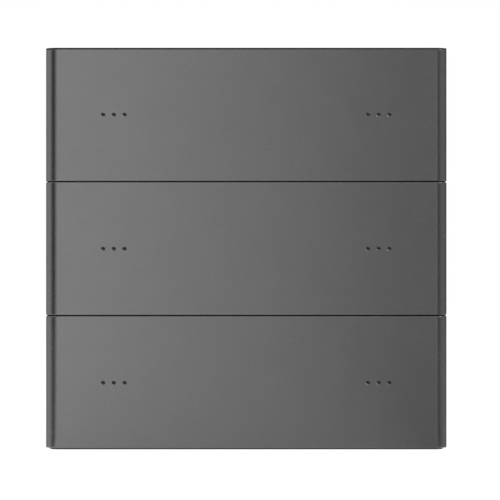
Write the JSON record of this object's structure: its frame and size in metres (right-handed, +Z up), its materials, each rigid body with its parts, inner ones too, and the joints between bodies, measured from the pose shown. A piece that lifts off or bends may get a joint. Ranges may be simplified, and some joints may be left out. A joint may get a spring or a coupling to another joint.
{
  "type": "wall battery unit",
  "caption": "Wall-mounted home battery cabinet: square graphite front of stacked pull-out modules with rounded upright edges, dimpled indicators and a side isolator.",
  "frame": {"origin": "centre of the four wall bolts, on the wall's surface and at half the unit's height", "axes": "+Z up, +Y into the wall, so the front faces -Y, and +X to the right of someone facing it"},
  "size_m": [0.6, 0.21, 0.599],
  "materials": {
    "graphite_paint": "satin metallic",
    "chassis_paint": "fine texture",
    "case_paint": "semi-matt dip coat",
    "zinc_steel": "galvanised",
    "screw_steel": "zinc-nickel",
    "strap_steel": "rolled",
    "aluminium": "milled",
    "cell_sleeve": "can in a thin blue sleeve",
    "copper": "rolled",
    "brass": "turned",
    "circuit_board": "solder resist",
    "black_plastic": "moulded",
    "red_plastic": "moulded",
    "switch_metal": "satin",
    "smoked_clear": "smoked, polished",
    "rubber": "moulded"
  },
  "bodies": {
    "frame": {"wall_plate": "zinc_steel", "left_side": "chassis_paint", "right_side": "chassis_paint", "top_cap": "chassis_paint", "base_plate": "chassis_paint", "gland_plate": "chassis_paint", "cable_glands": "black_plastic", "earth_stud": "brass", "data_ports": "black_plastic", "rails": "zinc_steel", "sockets": "black_plastic", "dc_busbars": "copper", "control_board": "circuit_board", "isolator_body": "black_plastic", "power_switch": "switch_metal", "frame_screws": "screw_steel"},
    "isolator": {"isolator_handle": "red_plastic"},
    "power_key": {"power_button": "switch_metal"},
    "module_1": {"case_1": "case_paint", "cells_1": "cell_sleeve", "end_plates_1": "aluminium", "straps_1": "strap_steel", "busbars_1": "copper", "bms_unit_1": "circuit_board", "gasket_1": "rubber", "lid_1": "case_paint", "lid_screws_1": "screw_steel", "vent_plug_1": "black_plastic", "plug_1": "black_plastic", "led_boards_1": "circuit_board"},
    "cover_1": {"front_cover_1": "graphite_paint", "light_pipes_1": "smoked_clear"},
    "module_2": {"case_2": "case_paint", "cells_2": "cell_sleeve", "end_plates_2": "aluminium", "straps_2": "strap_steel", "busbars_2": "copper", "bms_unit_2": "circuit_board", "gasket_2": "rubber", "lid_2": "case_paint", "lid_screws_2": "screw_steel", "vent_plug_2": "black_plastic", "plug_2": "black_plastic", "led_boards_2": "circuit_board"},
    "cover_2": {"front_cover_2": "graphite_paint", "light_pipes_2": "smoked_clear"},
    "module_3": {"case_3": "case_paint", "cells_3": "cell_sleeve", "end_plates_3": "aluminium", "straps_3": "strap_steel", "busbars_3": "copper", "bms_unit_3": "circuit_board", "gasket_3": "rubber", "lid_3": "case_paint", "lid_screws_3": "screw_steel", "vent_plug_3": "black_plastic", "plug_3": "black_plastic", "led_boards_3": "circuit_board"},
    "cover_3": {"front_cover_3": "graphite_paint", "light_pipes_3": "smoked_clear"}
  },
  "joints": [
    {"name": "module_1_slide", "type": "slide", "parent": "frame", "child": "module_1", "axis": [0, -1, 0], "range_m": [0, 0.1]},
    {"name": "cover_1_release", "type": "slide", "parent": "module_1", "child": "cover_1", "axis": [0, -1, 0], "range_m": [0, 0.04]},
    {"name": "module_2_slide", "type": "slide", "parent": "frame", "child": "module_2", "axis": [0, -1, 0], "range_m": [0, 0.1]},
    {"name": "cover_2_release", "type": "slide", "parent": "module_2", "child": "cover_2", "axis": [0, -1, 0], "range_m": [0, 0.04]},
    {"name": "module_3_slide", "type": "slide", "parent": "frame", "child": "module_3", "axis": [0, -1, 0], "range_m": [0, 0.1]},
    {"name": "cover_3_release", "type": "slide", "parent": "module_3", "child": "cover_3", "axis": [0, -1, 0], "range_m": [0, 0.04]},
    {"name": "isolator_turn", "type": "hinge", "parent": "frame", "child": "isolator", "pos_m": [0.286, -0.026, 0.14], "axis": [1, 0, 0], "range_deg": [0, 90]},
    {"name": "power_press", "type": "slide", "parent": "frame", "child": "power_key", "axis": [-1, 0, 0], "range_m": [0, 0.0015], "stiffness_N_per_m": 900, "springref_m": -0.001}
  ]
}
